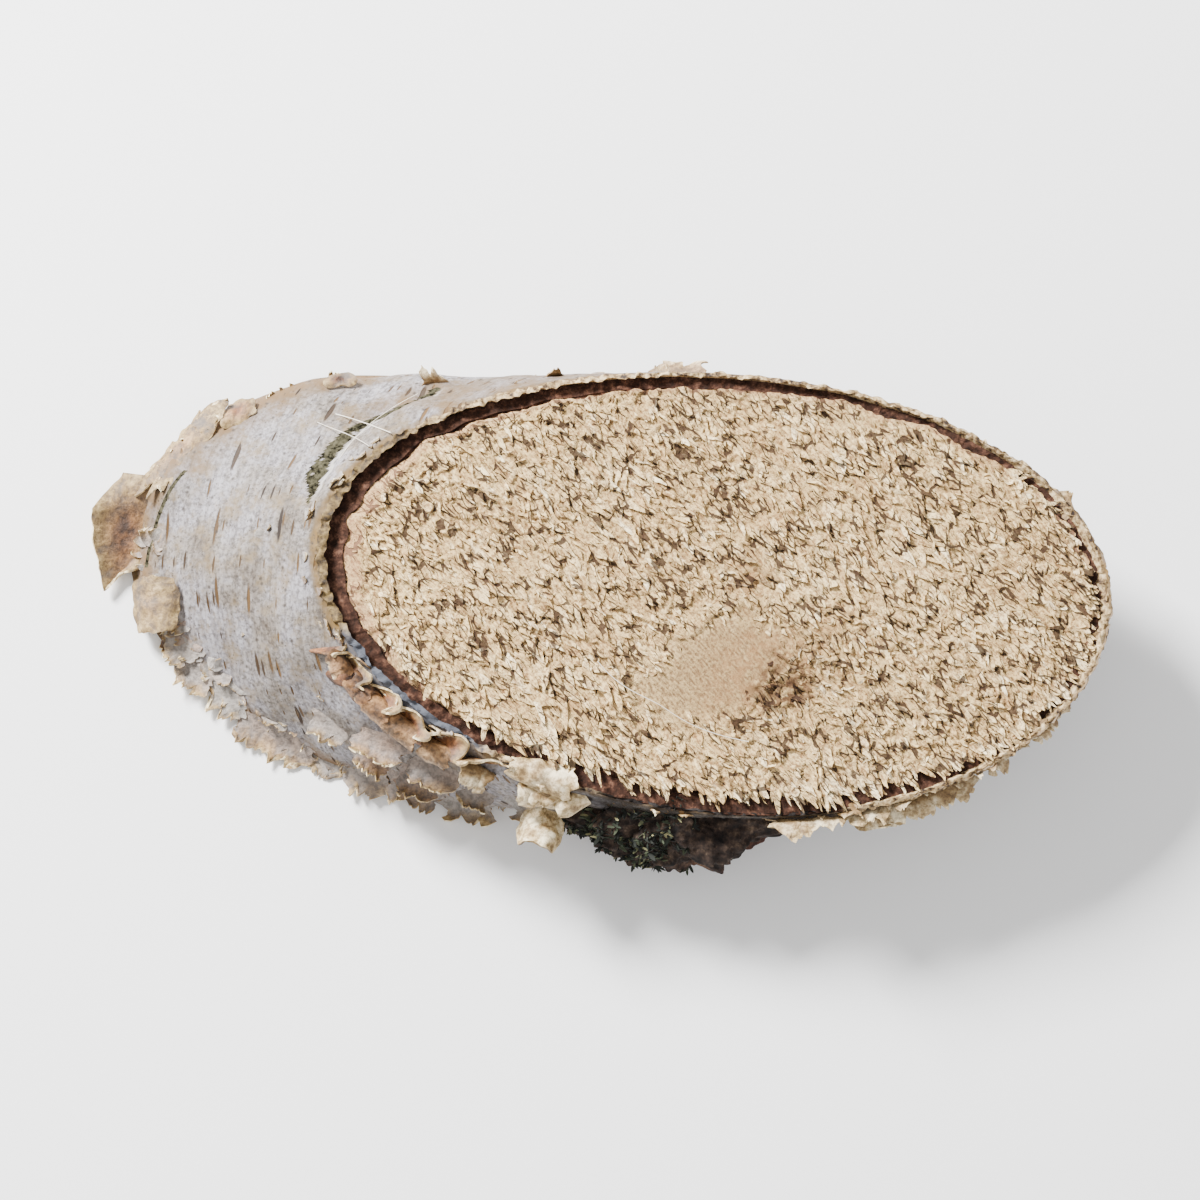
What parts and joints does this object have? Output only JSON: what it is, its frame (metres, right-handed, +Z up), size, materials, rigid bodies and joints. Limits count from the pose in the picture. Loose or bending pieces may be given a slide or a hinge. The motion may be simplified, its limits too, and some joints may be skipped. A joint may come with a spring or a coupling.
{
  "type": "birch wood slice",
  "caption": "Oval slice sawn at a slant from a birch branch, with rough torn fibres on the cut, a dark bark ring and white papery bark that peels in curls.",
  "frame": {"origin": "centre of the oval lower cut face, which lies on the surface", "axes": "+Z up, out of the upper cut face; +X along the long axis of the cuts, the way the branch leans; +Y across them"},
  "size_m": [0.1385, 0.0716, 0.0197],
  "materials": {
    "birch_wood": "sawn birch, dry and matt, with torn fibres",
    "birch_bark": "white papery birch bark, matt, with a faint silky sheen",
    "inner_bark": "dark brown inner bark, crumbly and matt"
  },
  "bodies": {
    "root": {"birch_slice": "birch_wood"}
  },
  "joints": []
}
